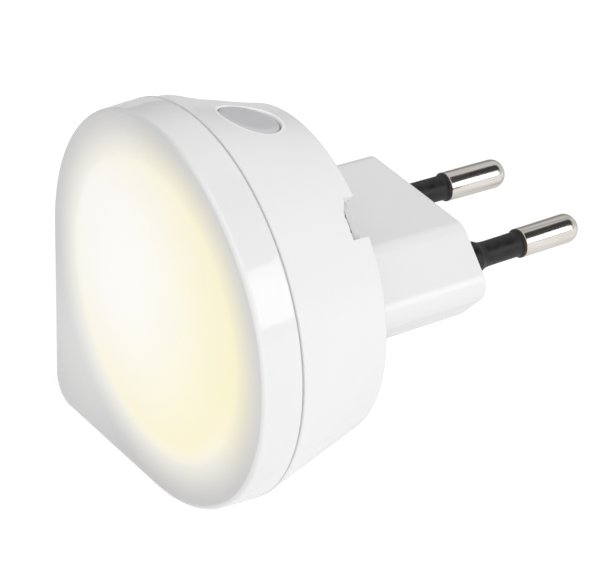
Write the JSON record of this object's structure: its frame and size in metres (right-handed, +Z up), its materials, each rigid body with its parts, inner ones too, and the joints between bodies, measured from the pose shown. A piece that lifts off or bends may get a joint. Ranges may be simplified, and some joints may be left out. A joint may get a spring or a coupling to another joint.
{
  "type": "plug-in night light",
  "caption": "Round lamp head with one squared corner on a flat two-pin mains plug: opal lit cover, tapered rear housing, light-sensor window and part-sleeved pins.",
  "frame": {"origin": "centre of the plug's engagement face, midway between the two pins", "axes": "+Y out of the plug along the pins, towards the outlet; +X to the right as seen from in front of the lit face; +Z up"},
  "size_m": [0.0542, 0.0603, 0.0542],
  "materials": {
    "opal_cover": "glossy",
    "white_moulding": "glossy",
    "grey_window": "glossy",
    "white_plug": "satin",
    "nickel_plated_brass": "polished nickel plating",
    "black_sleeve": "matte",
    "board_laminate": "satin",
    "zinc_plated_steel": "satin",
    "white_reflector": "matte",
    "diode_body": "satin",
    "photocell_ceramic": "matte",
    "black_rubber": "matte",
    "yellow_case": "satin",
    "blue_sleeve": "glossy",
    "black_epoxy": "matte",
    "green_coating": "matte",
    "blue_coating": "glossy",
    "tan_coating": "glossy",
    "brown_insulation": "satin",
    "blue_insulation": "satin"
  },
  "bodies": {
    "root": {"front_cover": "opal_cover", "rear_housing": "white_moulding", "sensor_window": "grey_window", "plug_base": "white_plug", "line_pin": "nickel_plated_brass", "neutral_pin": "nickel_plated_brass", "line_pin_sleeve": "black_sleeve", "neutral_pin_sleeve": "black_sleeve", "circuit_board": "board_laminate", "board_screws": "zinc_plated_steel", "light_reflector": "white_reflector", "leds": "diode_body", "photocell": "photocell_ceramic", "photocell_holder": "black_rubber", "film_capacitor": "yellow_case", "smoothing_capacitor": "blue_sleeve", "rectifier_diodes": "black_epoxy", "fuse_resistor": "green_coating", "bleed_resistor": "blue_coating", "sense_resistor": "tan_coating", "led_resistor": "tan_coating", "switching_transistor": "black_epoxy", "line_wire": "brown_insulation", "neutral_wire": "blue_insulation"}
  },
  "joints": []
}
